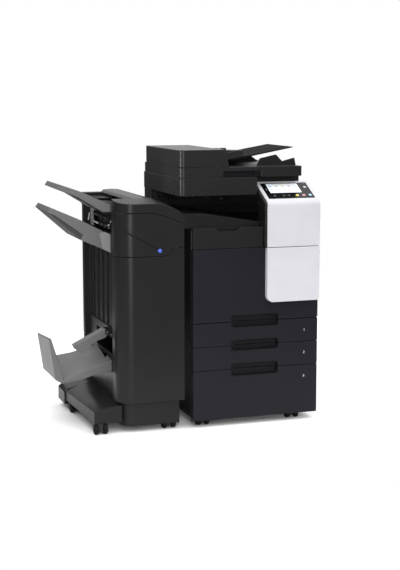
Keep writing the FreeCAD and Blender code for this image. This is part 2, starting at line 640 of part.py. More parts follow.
def finisher_body():
    skin = S["fin_skin"]
    start = S["shell_depth"]
    back = S["fin_back"]
    outer = [(SIDE, start), (SIDE, 598), (FIN, 598), (FIN, back), (FIN_RIGHT, back), (FIN_RIGHT, start)]
    inner = [(SIDE + skin, start - 1), (SIDE + skin, 602), (FIN + skin, 602), (FIN + skin, back - skin),
             (FIN_RIGHT + 1, back - skin), (FIN_RIGHT + 1, start - 1)]
    foot = S["fin_door_foot"] - 2
    shell = cut(prism("z", outer, foot, S["side_top"], rounds=((3, 14),)),
                prism("z", inner, foot - 1, S["side_top"] + 1, rounds=((3, 10),)))
    return_wall = block(FIN, SIDE, start, start + skin, foot, S["side_top"])
    ledge = block(SIDE + skin - 1, S["lid_left"] + 4, start, back - skin, S["side_top"] - skin,
                  S["side_top"])
    column = block(FIN, S["lid_left"], 598, back, S["side_top"], 957)
    front, end = S["exit_front"], S["exit_back"]
    near, far = S["recess_front"], S["recess_back"]
    low, deep = S["recess_foot"], S["recess_deep"]
    tub = block(SIDE + 1, SIDE + deep + skin, near - skin, far + 2, low - skin, 820)
    pocket = block(SIDE - 1, SIDE + deep, near, far, low, 815)
    slot = block(SIDE - 1, SIDE + deep + skin + 1, front - 30, 590, 815, 896)
    chute = block(SIDE - 1, SIDE + skin + 1, front - 10, end + 10, 300, 380)
    lugs = []
    pivot_x, pivot_z = FLAP_PIVOT
    for y in (FLAP_NEAR - 7, FLAP_FAR + 1):
        ear = block(SIDE - 24, SIDE + 1, y, y + 6, 384, 405)
        hole = rod("y", (pivot_x, pivot_z), S["pin_radius"] + S["axle_clear"], y - 1, y + 7)
        lugs.append(cut(ear, hole))
    node("finisher_rear_cover", join(cut(join(shell, tub), pocket, slot, chute), return_wall, ledge,
                                     column, *lugs))

    edge = S["lid_left"]
    roof = [(edge, 905), (edge, 955), (edge + 12, 966), (-182, 968), (-150, 966), (-118, 954), (-86, 942),
            (-57, 925), (FIN_RIGHT, 905)]
    under = [(edge + 4, 904), (edge + 4, 953), (edge + 14, 962), (-183, 964), (-151, 962), (-120, 950),
             (-88, 938), (-61, 922), (-47, 904)]
    lid = cut(prism("y", roof, start, back), prism("y", under, start + skin, back - skin))
    paper_slot = block(edge - 1, edge + 6, front + 10, end - 10, 933, 951)
    node("finisher_top_lid", cut(lid, paper_slot))

    floor = prism("z", skirt_plan(skin), S["fin_plate_z"], S["fin_plate_z"] + 6, rounds=((0, 46),))
    sill = block(SIDE + skin, FIN_RIGHT, start + skin, back - skin, foot, foot + 4)
    right = block(FIN_RIGHT - skin, FIN_RIGHT, start, back - skin, foot, 904)
    top = S["side_top"] - skin
    posts = [block(SIDE + skin, SIDE + skin + 20, y, y + 20, S["fin_plate_z"] + 6, top) for y in (104,
                                                                                                  586)]
    beams = [block(SIDE + skin + 20, FIN_RIGHT - skin, y, y + 20, top - 24, top) for y in (104, 586)]
    dock = block(FIN_RIGHT, 0, 250, 350, 500, 540)
    unit = block(-250, FIN_RIGHT - skin, 130, 580, 600, 780)
    folder = block(-250, FIN_RIGHT - skin, 130, 580, 330, 470)
    node("finisher_frame", join(floor, sill, right, *posts, *beams, dock))
    node("stapling_and_folding_units", group(unit, folder))
    shaft = rod("y", (-285, 832), 4, 124.3, 585.7)
    rolls = [rod("y", (-285, 832), 10, y, y + 30) for y in (200, 270, 330, 400)]
    node("exit_rollers", join(shaft, *rolls))


def trough(outline, floor, front=None, back=None):
    """An open-topped tray: the outline across its width, less the space above its floor."""
    front = front or S["exit_front"]
    back = back or S["exit_back"]
    wall = S["tray_wall"]
    return cut(prism("y", outline, front, back), prism("y", floor, front + wall, back - wall))


def finisher_trays():
    end = S["lid_left"]
    upper = [(-512, 1024), (-524, 1006), (-440, 972), (-334, 907), (end, 906), (end, 929), (-299, 934),
             (-427, 994)]
    upper_space = [(-505, 1060), (-512, 1012), (-438, 979), (-332, 913), (end + 1, 912), (end + 1, 1060)]
    node("upper_exit_tray", trough(upper, upper_space))
    end = SIDE - S["slip"]
    lower = [(-554, 931), (-567, 912), (-535, 898), (-474, 854), (-421, 816), (-431, 794), (-334, 752),
             (end, 732),
             (end, 808), (-433, 878)]
    lower_space = [(-548, 960), (-556, 919), (-533, 909), (-433, 862), (SIDE + 1, 800), (SIDE + 1, 960)]
    rib = [(-563, 910), (-431, 794), (-421, 816), (-474, 854), (-535, 898)]
    ribs = prism("y", rib, S["exit_front"] + 8, S["exit_back"] - 8)
    node("stacking_tray", join(trough(lower, lower_space), ribs))
    booklet_tray()


def booklet_tray():
    """The lowest tray: its floor rises to the back and runs up into an end stop; a flap lies over it."""
    front, back = S["exit_front"], S["exit_back"]
    near = [(-518, 191), (-440, 200), (-425, 205), (-373, 220), (SIDE, 225), (SIDE, 275), (-321, 271),
            (-438, 236), (-511, 208)]
    far = [(-515, 190), (-440, 214), (-425, 220), (-373, 235), (SIDE, 240), (SIDE, 298), (-318, 293),
           (-420, 268), (-500, 258)]
    under_near = [(-505, 198), (-438, 207), (-423, 212), (-372, 226), (SIDE + 1, 231), (SIDE + 1, 269),
                  (-322, 264), (-439, 229), (-500, 205)]
    under_far = [(-502, 197), (-438, 221), (-423, 226), (-372, 241), (SIDE + 1, 246), (SIDE + 1, 292),
                 (-319, 286), (-420, 261), (-490, 251)]
    wall = S["tray_wall"]
    floor = cut(loft(near, far, front, back), loft(under_near, under_far, front + wall, back - wall))
    stop_near = [(-572, 387), (-562, 387), (-541, 316), (-527, 270), (-511, 208), (-518, 191),
                 (-547, 209)]
    stop_far = [(-568, 362), (-560, 362), (-541, 306), (-525, 272), (-500, 258), (-515, 190), (-545, 202)]
    node("booklet_tray", join(floor, loft(stop_near, stop_far, front, back)))
    top = [(-458, 341), (-447, 321), (-418, 309), (-395, 328), (-377, 348), (-350, 361), (-326, 368),
           (-312, 380),
           (-308, 394), (-314, 402), (-324, 407)]
    hollow = [(-450, 337), (-335, 394), (-335, 290), (-450, 290)]
    arm = cut(prism("y", top, FLAP_NEAR, FLAP_FAR), prism("y", hollow, FLAP_NEAR + 5, FLAP_FAR - 5))
    pin = rod("y", FLAP_PIVOT, S["pin_radius"], FLAP_NEAR - 7, FLAP_FAR + 7)
    node("booklet_flap", join(arm, pin))


def skirt_plan(inset):
    """The plan of the plinth under the finisher, drawn in from its outside by inset."""
    x0, x1, y0, y1 = SIDE + inset, -54 - inset, 20 + inset, 625 - inset
    return [(x0, y0), (x1, y0), (x1, y1), (x0, y1)]


def finisher_base():
    skin = S["fin_skin"]
    low, high = S["skirt_foot"], S["fin_door_foot"] - 2
    outer = prism("z", skirt_plan(0), low, high, rounds=((0, 50),))
    skirt = cut(outer, prism("z", skirt_plan(skin), low - 1, high + 1, rounds=((0, 46),)))
    left = S["outrigger_left"]
    foot = S["outrigger_foot"]
    dome = [(left - 20, foot), (left - 20, 84), (left + 10, 97), (-399, 104), (-369, 111), (SIDE, 118),
            (SIDE, foot)]
    front_part = prism("y", dome, 30, 480)
    spare = prism("z", [(left - 30, 29), (left + 12, 29), (left - 10, 481), (left - 30, 481)], foot - 1,
                  125)
    rear_dome = [(left - 16, 26), (left - 16, 82), (left, 97), (-400, 105), (-350, 114), (SIDE, 121),
                 (SIDE, 26)]
    rear_part = prism("y", rear_dome, 479, 610)
    node("finisher_base", group(skirt, join(cut(front_part, spare), rear_part)))


# ---------------------------------------------------------------------------- document
def build():
    cabinet_frame()
    cabinet_covers()
    for drawer in DRAWERS:
        paper_drawer(*drawer)
    front_door()
    inner_tray()
    cabinet_inside()
    right_side()
    white_cover()
    control_panel()
    scanner()
    document_feeder()
    document_tray()
    undercarriage()
    finisher_front()
    finisher_body()
    finisher_trays()
    finisher_base()
    doc.recompute()


def check_and_write():
    faults = [item.Label for item in doc.Objects if "Invalid" in item.State or "Error" in item.State]
    for item in NODES:
        if item.Shape.isNull() or not item.Shape.isValid() or not item.Shape.Solids:
            faults.append(item.Label)
    if faults:
        raise RuntimeError("these objects did not build: " + ", ".join(faults))
    os.makedirs("parts", exist_ok=True)
    for item in NODES:
        item.Shape.exportStep("parts/%s.step" % item.Label)


build()
check_and_write()
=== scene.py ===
"""Office photocopier with a docked finisher: finishes and fine pieces around the fixed frame."""
import bmesh
import bpy
import json
import math
from mathutils import Matrix, Vector
from mathutils.bvhtree import BVHTree
from mathutils.kdtree import KDTree


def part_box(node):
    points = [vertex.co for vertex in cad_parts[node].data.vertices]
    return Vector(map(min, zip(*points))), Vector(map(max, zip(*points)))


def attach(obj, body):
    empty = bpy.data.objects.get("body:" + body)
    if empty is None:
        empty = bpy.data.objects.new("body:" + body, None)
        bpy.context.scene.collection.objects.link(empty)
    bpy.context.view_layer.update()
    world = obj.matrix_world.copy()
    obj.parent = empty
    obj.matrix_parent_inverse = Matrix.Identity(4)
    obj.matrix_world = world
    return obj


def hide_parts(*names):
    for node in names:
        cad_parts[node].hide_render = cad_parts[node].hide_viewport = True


bl_info = {
    "name": "Photocopier Looks",
    "version": (1, 0, 0),
    "blender": (4, 5, 0),
    "location": "3D View > Sidebar > Copier",
    "description": "Moulded panels, trays, control panel and studio for a floor-standing photocopier",
    "category": "Object",
}

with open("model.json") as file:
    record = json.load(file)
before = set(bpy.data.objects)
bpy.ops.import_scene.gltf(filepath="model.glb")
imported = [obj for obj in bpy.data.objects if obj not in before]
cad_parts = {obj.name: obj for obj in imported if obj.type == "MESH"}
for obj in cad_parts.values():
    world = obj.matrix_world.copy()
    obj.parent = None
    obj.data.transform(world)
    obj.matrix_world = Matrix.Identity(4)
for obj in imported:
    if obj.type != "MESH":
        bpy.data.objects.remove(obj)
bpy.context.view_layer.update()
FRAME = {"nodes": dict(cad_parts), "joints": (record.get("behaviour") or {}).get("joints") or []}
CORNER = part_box("drawer_1_front")[0]
MM = 0.001

# The sloping control panel: the depth and height of its foot, its climb over its run, and its screen.
PANEL_FOOT_Y, PANEL_FOOT_Z = -28, 948
PANEL_CLIMB, PANEL_RUN = 75, 149
LEAN = math.atan2(PANEL_CLIMB, PANEL_RUN)
UPHILL = Vector((0, math.cos(LEAN), math.sin(LEAN)))
OUTWARD = Vector((0, -math.sin(LEAN), math.cos(LEAN)))
SCREEN_LEFT, SCREEN_RIGHT, SCREEN_LOW, SCREEN_HIGH = 355, 497, 71, 146


def at(x, y, z):
    """A point in millimetres from the cabinet's front left corner, in the frame's metres."""
    return Vector((CORNER.x + x * MM, CORNER.y + y * MM, z * MM))


def on_panel(x, along, lift=0.0):
    """A point on the sloping control panel: to the right, up the slope and out of it, in millimetres."""
    return at(x, PANEL_FOOT_Y, PANEL_FOOT_Z) + (UPHILL * along + OUTWARD * lift) * MM


# ---------------------------------------------------------------------------- sizes and colours
class CopierFinish(bpy.types.PropertyGroup):
    """Colours and surface sizes of the moulded parts."""
    body_colour: bpy.props.FloatVectorProperty(
        name="Body", description="Charcoal of the body panels", subtype="COLOR", size=4,
        default=(0.0125, 0.0125, 0.0132, 1), min=0, max=1)
    drawer_colour: bpy.props.FloatVectorProperty(
        name="Lower front", description="Cooler charcoal of the door and drawers", subtype="COLOR", size=4,
        default=(0.0112, 0.011, 0.0147, 1), min=0, max=1)
    black_colour: bpy.props.FloatVectorProperty(
        name="Black", description="Black of the control housing and hidden parts", subtype="COLOR", size=4,
        default=(0.005, 0.005, 0.0055, 1), min=0, max=1)
    white_colour: bpy.props.FloatVectorProperty(
        name="White", description="Cool white of the front column", subtype="COLOR", size=4,
        default=(0.49, 0.49, 0.52, 1), min=0, max=1)
    tray_colour: bpy.props.FloatVectorProperty(
        name="Trays", description="Grey of the finisher's trays", subtype="COLOR", size=4,
        default=(0.097, 0.097, 0.099, 1), min=0, max=1)
    steel_colour: bpy.props.FloatVectorProperty(
        name="Steel", description="Plated steel of the frame", subtype="COLOR", size=4,
        default=(0.42, 0.43, 0.44, 1), min=0, max=1)
    edge_round: bpy.props.FloatProperty(
        name="Edge rounding", description="Radius of the panels' outer edges", subtype="DISTANCE",
        unit="LENGTH", default=0.0014, min=0.0002, max=0.004)
    grain: bpy.props.FloatProperty(
        name="Grain", description="Distance between the grains of the moulded texture", subtype="DISTANCE",
        unit="LENGTH", default=0.0011, min=0.0003, max=0.004)


class CopierDetail(bpy.types.PropertyGroup):
    """Counts and sizes of the small details."""
    vent_count: bpy.props.IntProperty(
        name="Vent slats", description="Slats in each rear vent", default=16, min=2)
    vent_pitch: bpy.props.FloatProperty(
        name="Vent pitch", description="Distance between slats", subtype="DISTANCE", unit="LENGTH",
        default=0.009, min=0.003)
    digit_size: bpy.props.FloatProperty(
        name="Figure height", description="Height of the drawers' figures", subtype="DISTANCE", unit="LENGTH",
        default=0.0155, min=0.005)


# ---------------------------------------------------------------------------- shader maths
class Wire:
    """A value socket that adds Math nodes when it is used in an expression."""

    def __init__(self, tree, socket):
        self.tree = tree
        self.socket = socket

    def math(self, operation, *others, flip=False):
        """A Math node on this value and others, or on the others first."""
        made = self.tree.nodes.new("ShaderNodeMath")
        made.operation = operation
        values = [*others, self] if flip else [self, *others]
        for place, value in enumerate(values):
            if isinstance(value, Wire):
                self.tree.links.new(value.socket, made.inputs[place])
            else:
                made.inputs[place].default_value = value
        return Wire(self.tree, made.outputs[0])

    def __add__(self, other): return self.math("ADD", other)
    def __radd__(self, other): return self.math("ADD", other)
    def __sub__(self, other): return self.math("SUBTRACT", other)
    def __rsub__(self, other): return self.math("SUBTRACT", other, flip=True)
    def __mul__(self, other): return self.math("MULTIPLY", other)
    def __rmul__(self, other): return self.math("MULTIPLY", other)
    def __truediv__(self, other): return self.math("DIVIDE", other)
    def __gt__(self, other): return self.math("GREATER_THAN", other)
    def __lt__(self, other): return self.math("LESS_THAN", other)
    def __mod__(self, other): return self.math("MODULO", other)

    def between(self, low, high):
        """One inside two limits and nothing outside them."""
        return (self > low) * (self < high)


class Nodes:
    """A node tree under construction."""

    def __init__(self, tree):
        self.tree = tree

    def node(self, kind, settings=None, inputs=None):
        """One node: its settings first, a ramp's stops among them, then its sockets."""
        made = self.tree.nodes.new(kind)
        for name, value in (settings or {}).items():
            if name == "stops":
                self.set_stops(made.color_ramp, value)
            else:
                setattr(made, name, value)
        for key, value in (inputs or {}).items():
            self.put(value, made.inputs[key])
        return made

    def set_stops(self, ramp, stops):
        """Even bands of plain colour, each from its stop to the next."""
        ramp.interpolation = "CONSTANT"
        while len(ramp.elements) < len(stops):
            ramp.elements.new(1.0)
        for stop, (where, colour) in zip(ramp.elements, stops):
            stop.position = where
            stop.color = colour

    def put(self, value, socket):
        """Link a wire or a socket to a socket, or set its value."""
        if isinstance(value, Wire):
            value = value.socket
        if isinstance(value, bpy.types.NodeSocket):
            self.tree.links.new(value, socket)
        else:
            socket.default_value = value


class Surface(Nodes):
    """A material under construction."""

    def __init__(self, name):
        self.material = bpy.data.materials.new(name)
        self.material.use_nodes = True
        super().__init__(self.material.node_tree)
        self.shader = self.tree.nodes["Principled BSDF"]
        self.place = self.node("ShaderNodeTexCoord").outputs["Object"]

    def wire(self, socket):
        """A socket to do maths with."""
        return Wire(self.tree, socket)

    def noise(self, scale, detail=2.0, roughness=0.5):
        """Soft noise, with so many grains to the metre."""
        made = self.node("ShaderNodeTexNoise", {"noise_dimensions": "3D"},
                         {"Vector": self.place, "Scale": scale, "Detail": detail, "Roughness": roughness})
        return self.wire(made.outputs["Fac"])

    def cells(self, scale):
        """The distance from the middle of each cell of an uneven pattern."""
        made = self.node("ShaderNodeTexVoronoi", {"feature": "F1"}, {"Vector": self.place, "Scale": scale})
        return self.wire(made.outputs["Distance"])

    def bands(self, place, colours):
        """Plain colours side by side, as the place goes from 0 to 1."""
        stops = [(number / len(colours), colour) for number, colour in enumerate(colours)]
        return self.node("ShaderNodeValToRGB", {"stops": stops}, {"Fac": place}).outputs["Color"]

    def axes(self):
        """The three coordinates of a point on the surface."""
        parts = self.node("ShaderNodeSeparateXYZ", None, {"Vector": self.place})
        return [self.wire(socket) for socket in parts.outputs]

    def mix(self, amount, first, second):
        """Blend two colours, each a value or a socket, by a value wire."""
        return self.node("ShaderNodeMix", {"data_type": "RGBA"}, {0: amount, 6: first, 7: second}).outputs[2]

    def feed(self, **inputs):
        """Give the shader's sockets their values or links."""
        for name, value in inputs.items():
            self.put(value, self.shader.inputs[name.replace("_", " ").title().replace("Ior", "IOR")])
        return self

    def bump(self, height, depth, strength=0.6):
        """Raise the surface a little by a height, in metres at its full depth."""
        made = self.node("ShaderNodeBump", None, {"Height": height, "Distance": depth, "Strength": strength})
        return self.feed(normal=made.outputs["Normal"])


def shade(colour, factor):
    """A colour made darker or lighter."""
    return (min(colour[0] * factor, 1), min(colour[1] * factor, 1), min(colour[2] * factor, 1), 1)


def moulded(name, colour, rough, grain, gloss=0.35, depth=0.00006, streaks=0.0):
    """Moulded plastic: fine grain, faint clouding, slightly polished patches, and level streaks if asked."""
    surface = Surface(name)
    fine = surface.noise(1 / grain, 3.0, 0.6)
    pits = surface.cells(0.8 / grain)
    cloud = surface.noise(5.0, 4.0, 0.55)
    rubbed = surface.noise(14.0, 5.0, 0.7)
    tone = 0.5 + (cloud - 0.5) * 0.9 + (fine - 0.5) * 0.5
    base = surface.mix(tone, shade(colour, 0.86), shade(colour, 1.14))
    if streaks:
        height = surface.axes()[2]
        line = surface.node("ShaderNodeTexNoise", {"noise_dimensions": "1D"},
                            {"W": height * 900.0, "Detail": 3.0})
        base = surface.mix(surface.wire(line.outputs["Fac"]) * streaks, base, shade(colour, 1.5))
    surface.feed(base_color=base, roughness=rough + (rubbed - 0.5) * 0.16 + (fine - 0.5) * 0.06,
                 specular_ior_level=gloss)
    return surface.bump(fine * 0.6 + pits * 0.6, depth).material


def coated_steel(name, colour):
    """Zinc-plated sheet with a faint spangle and rolled direction."""
    surface = Surface(name)
    spangle = surface.cells(160.0)
    rolled = surface.noise(45.0, 5.0, 0.65)
    base = surface.mix(spangle * 0.6 + rolled * 0.4, shade(colour, 0.8), shade(colour, 1.15))
    surface.feed(base_color=base, metallic=0.75, roughness=0.34 + rolled * 0.18)
    return surface.bump(spangle * 0.3 + rolled * 0.3, 0.0001).material


def clear_pane(name, tint):
    """A thin clear sheet, faintly smeared."""
    surface = Surface(name)
    smear = surface.noise(9.0, 6.0, 0.7)
    surface.feed(base_color=surface.mix(smear, shade(tint, 0.92), tint), roughness=0.03 + smear * 0.05,
                 alpha=0.32 + smear * 0.06, specular_ior_level=0.6)
    return surface.bump(smear, 0.00005, 0.2).material


def glossy(name, colour, rough=0.18, glow=0.0):
    """A polished cap with a soft wear pattern."""
    surface = Surface(name)
    worn = surface.noise(120.0, 4.0, 0.6)
    base = surface.mix(worn, shade(colour, 0.88), shade(colour, 1.1))
    surface.feed(base_color=base, roughness=rough + worn * 0.1, coat_weight=0.4, emission_color=base,
                 emission_strength=glow)
    return surface.bump(worn, 0.00004, 0.3).material


def rubbery(name, colour):
    """Scuffed, dusty rubber."""
    surface = Surface(name)
    scuff = surface.noise(60.0, 6.0, 0.75)
    dust = surface.noise(11.0, 4.0, 0.6)
    base = surface.mix(scuff * 0.5 + dust * 0.5, shade(colour, 0.7), shade(colour, 1.5))
    surface.feed(base_color=base, roughness=0.62 + scuff * 0.2, specular_ior_level=0.15)
    return surface.bump(scuff, 0.0002).material


TILE_TINTS = ((0.62, 0.75, 0.9, 1), (0.74, 0.86, 0.74, 1), (0.93, 0.8, 0.66, 1), (0.85, 0.74, 0.86, 1),
              (0.72, 0.84, 0.88, 1))
TONER_TINTS = ((0.5, 0.42, 0.03, 1), (0.4, 0.02, 0.16, 1), (0.02, 0.2, 0.45, 1), (0.01, 0.01, 0.012, 1))


def screen_picture(name):
    """A lit touch screen: a title bar, two rows of soft-coloured tiles and a foot bar."""
    surface = Surface(name)
    x, y, z = surface.axes()
    start = on_panel(SCREEN_LEFT, SCREEN_LOW)
    u = (x - start.x) / ((SCREEN_RIGHT - SCREEN_LEFT) * MM)
    v = ((y - start.y) * UPHILL.y + (z - start.z) * UPHILL.z) / ((SCREEN_HIGH - SCREEN_LOW) * MM)
    paper = (0.9, 0.92, 0.95, 1)
    base = surface.mix(v > 0.88, paper, (0.8, 0.84, 0.89, 1))
    base = surface.mix(v < 0.1, base, (0.72, 0.76, 0.82, 1))
    column = (u * 5.0) % 1.0
    number = (u * 5.0).math("FLOOR")
    tint = surface.bands(number / 5.0 + 0.01, TILE_TINTS)
    for low, high in ((0.18, 0.46), (0.54, 0.82)):
        tile = column.between(0.16, 0.84) * v.between(low, high)
        base = surface.mix(tile * 0.75, base, tint)
        mark = column.between(0.36, 0.64) * v.between(low + 0.1, high - 0.06)
        base = surface.mix(mark * 0.7, base, (0.34, 0.38, 0.45, 1))
    glare = surface.noise(6.0, 2.0)
    surface.feed(base_color=base, roughness=0.16 + glare * 0.05, emission_color=base, emission_strength=0.06)
    return surface.bump(glare, 0.00002, 0.1).material


def toner_plastic(name):
    """Four dark bottles in a row, each with the tint of its toner on its front cap."""
    surface = Surface(name)
    x, y, z = surface.axes()
    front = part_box("toner_cartridges")[0]
    four_pitches, lead, cap = 0.36, 0.015, 0.04
    tint = surface.bands((x - (front.x - lead)) / four_pitches, TONER_TINTS)
    fine = surface.noise(500.0, 3.0)
    barrel = surface.mix(fine, (0.02, 0.02, 0.022, 1), (0.035, 0.035, 0.038, 1))
    base = surface.mix(y < front.y + cap, barrel, tint)
    surface.feed(base_color=base, roughness=0.4 + fine * 0.15)
    return surface.bump(fine, 0.0001).material


MATERIALS = {}


def finish(name):
    """The material of a finish by its name, made when it is first asked for."""
    if name in MATERIALS:
        return MATERIALS[name]
    look = bpy.context.scene.copier_finish
    body, tray, grain = look.body_colour[:], look.tray_colour[:], look.grain
    makers = {
        "charcoal": (moulded, body, 0.34, grain, 0.13),
        "front_charcoal": (moulded, look.drawer_colour[:], 0.42, grain, 0.1),
        "white": (moulded, look.white_colour[:], 0.42, grain, 0.35, 0.00005),
        "black": (moulded, look.black_colour[:], 0.45, grain),
        # A near-black that paints the shade in recesses: the grips, the notch, the lid grip and the groove.
        "grip_black": (moulded, (0.0035, 0.0035, 0.0055, 1), 0.5, grain, 0.16),
        "unit_black": (moulded, (0.025, 0.025, 0.028, 1), 0.5, 0.002, 0.4, 0.0001, 0.2),
        "panel_glass": (moulded, (0.004, 0.004, 0.0045, 1), 0.16, 0.02, 0.12, 0.000003),
        "tray_dark": (moulded, shade(body, 0.8), 0.55, grain, 0.2),
        "tray_matte": (moulded, shade(body, 0.55), 0.75, grain, 0.04),
        # A lighter copy of the tray grey: painted light on the stacking tray's fold.
        "tray_light": (moulded, shade(tray, 1.8), 0.45, grain),
        "tray_grey": (moulded, tray, 0.42, grain),
        # A darker copy of the tray grey: painted shade under the trays and on the exit opening's flaps.
        "tray_grey_dark": (moulded, shade(tray, 0.34), 0.6, grain),
        "steel": (coated_steel, look.steel_colour[:]),
        "polished_steel": (coated_steel, (0.8, 0.81, 0.83, 1)),
        "clear_glass": (clear_pane, (0.75, 0.84, 0.8, 1)),
        "screen": (screen_picture,),
        "toner": (toner_plastic,),
        "lamp_blue": (glossy, (0.05, 0.1, 0.5, 1), 0.12, 0.15),
        "key_yellow": (glossy, (0.62, 0.52, 0.09, 1)),
        "key_pink": (glossy, (0.55, 0.2, 0.27, 1)),
        "key_blue": (glossy, (0.25, 0.5, 0.72, 1)),
        "key_grey": (glossy, (0.33, 0.34, 0.37, 1)),
        "print_grey": (glossy, (0.17, 0.175, 0.19, 1), 0.4),
        "print_white": (glossy, (0.62, 0.62, 0.64, 1), 0.4),
        "rubber": (rubbery, (0.03, 0.03, 0.032, 1)),
        "caster_tyre": (rubbery, (0.004, 0.004, 0.0045, 1)),
    }
    make, *values = makers[name]
    MATERIALS[name] = make(name, *values)
    return MATERIALS[name]


# ---------------------------------------------------------------------------- mesh tools
# Angles are in degrees, the weld in metres, and the turn allowed along one edge is a cosine.
CREASE_ANGLE = 32
CORNER_ANGLE = 34
FLAT_FACE_WEIGHT = 80
WELD = 0.00002
FLAT_ANGLE = 0.6
ROUNDING_TRIES = 8
SAME_WAY = 0.86
# In rounding widths: the shortest rounded edge, how far a bad corner reaches, and how far off is stray.
SHORT_EDGE, CORNER_REACH, OFF_SKIN = 2.2, 2.5, 0.9


def linked(name, data):
    """An object in the scene that shows some data."""
    item = bpy.data.objects.new(name, data)
    bpy.context.scene.collection.objects.link(item)
    return item


def new_object(name, bm, *finishes):
    """An object made from mesh work, with its finishes."""
    mesh = bpy.data.meshes.new(name)
    bm.to_mesh(mesh)
    bm.free()
    for look in finishes:
        mesh.materials.append(finish(look))
    return linked(name, mesh)


def evaluated(item):
    """A plain mesh of an object as its modifiers or its text make it."""
    graph = bpy.context.evaluated_depsgraph_get()
    return bpy.data.meshes.new_from_object(item.evaluated_get(graph), depsgraph=graph)


def apply_modifiers(item):
    """Keep an object's evaluated shape as its own mesh."""
    made = evaluated(item)
    item.modifiers.clear()
    item.data = made


def settle(item, body, replaces=(), weighted=True):
    """Smooth the curved faces, keep the flat ones flat, apply the modifiers, and ride on a body."""
    for polygon in item.data.polygons:
        polygon.use_smooth = True
    item.data.set_sharp_from_angle(angle=math.radians(CREASE_ANGLE))
    if weighted:
        even = item.modifiers.new("Even", "WEIGHTED_NORMAL")
        even.keep_sharp = True
        even.weight = FLAT_FACE_WEIGHT
        apply_modifiers(item)
    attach(item, body)
    if replaces:
        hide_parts(*replaces)
    return item


def welded(node):
    """A CAD node's mesh with its triangles joined and its flat faces merged."""
    bm = bmesh.new()
    bm.from_mesh(FRAME["nodes"][node].data)
    bmesh.ops.remove_doubles(bm, verts=bm.verts, dist=WELD)
    bmesh.ops.dissolve_limit(bm, angle_limit=math.radians(FLAT_ANGLE), verts=bm.verts, edges=bm.edges)
    return bm


def corner_edges(bm, width):
    """The edges between faces that meet at a sharp angle, without the short ones that end in a corner."""
    limit = math.radians(CORNER_ANGLE)
    crisp = {e for e in bm.edges if len(e.link_faces) == 2 and e.calc_face_angle(0) > limit}
    chosen = set()
    for edge in crisp:
        way = (edge.verts[1].co - edge.verts[0].co).normalized()
        chained = 0
        for other in (e for vert in edge.verts for e in vert.link_edges):
            if other is not edge and other in crisp:
                turn = abs((other.verts[1].co - other.verts[0].co).normalized().dot(way))
                chained += turn > SAME_WAY
        if edge.calc_length() > width * SHORT_EDGE or chained >= 2:
            chosen.add(edge.index)
    return chosen


def too_tight(trial, skin, corners, width):
    """Whether the rounding has thrown points off the shape's skin, and the corners where it did."""
    stray = {v for v in trial.verts if skin.find_nearest(v.co)[3] > width * OFF_SKIN}
    found = set()
    for edge in (e for vert in stray for e in vert.link_edges):
        for vert in edge.verts:
            if vert not in stray:
                found |= {near[1] for near in corners.find_range(vert.co, width * CORNER_REACH)}
                found.add(corners.find(vert.co)[1])
    return bool(stray), found


def round_edges(bm, width, segments=2):
    """Round the sharp edges, leaving square the few corners that are too tight for the width."""
    bm.edges.index_update()
    bm.verts.index_update()
    chosen = corner_edges(bm, width)
    skin = BVHTree.FromBMesh(bm)
    corners = KDTree(len(bm.verts))
    for vert in bm.verts:
        corners.insert(vert.co, vert.index)
    corners.balance()
    barred = set()
    for _ in range(ROUNDING_TRIES):
        trial = bm.copy()
        trial.edges.ensure_lookup_table()
        edges = [trial.edges[i] for i in chosen if not barred & {v.index for v in trial.edges[i].verts}]
        if edges:
            bmesh.ops.bevel(trial, geom=edges, offset=width, segments=segments, profile=0.5, affect="EDGES",
                            clamp_overlap=False)
        spoilt, tight = too_tight(trial, skin, corners, width)
        if not spoilt:
            bm.free()
            return trial
        barred |= tight
        trial.free()
    return bm


def soften(node, look="charcoal", body="machine", width=None, segments=2):
    """A CAD node again with rounded edges."""
    bm = round_edges(welded(node), width or bpy.context.scene.copier_finish.edge_round, segments)
    return settle(new_object(node + "_shell", bm, look), body, (node,))


def carve(item, tool):
    """Cut a tool's shape out of an object, and remove the tool."""
    change = item.modifiers.new("Carve", "BOOLEAN")
    change.solver = "EXACT"
    change.object = tool
    apply_modifiers(item)
    bpy.data.objects.remove(tool)


def solid_block(low, high, width=0.001, segments=2):
    """A box between two corners, its edges rounded unless the width is nothing."""
    bm = bmesh.new()
    bmesh.ops.create_cube(bm, size=1.0)
    bmesh.ops.scale(bm, vec=high - low, verts=bm.verts)
    bmesh.ops.translate(bm, vec=(low + high) / 2, verts=bm.verts)
    if width:
        bmesh.ops.bevel(bm, geom=bm.edges[:], offset=width, segments=segments, profile=0.5, affect="EDGES",
                        clamp_overlap=True)
    return bm


def slab_y(outline, start, end):
    """A flat piece with an outline seen from the front, between two depths in millimetres."""
    bm = bmesh.new()
    rings = [[bm.verts.new(at(x, y, z)) for x, z in outline] for y in (start, end)]
    bm.faces.new(rings[0])
    bm.faces.new(list(reversed(rings[1])))
    for k in range(len(outline)):
        n = (k + 1) % len(outline)
        bm.faces.new((rings[0][k], rings[1][k], rings[1][n], rings[0][n]))
    bmesh.ops.recalc_face_normals(bm, faces=bm.faces)
    return bm


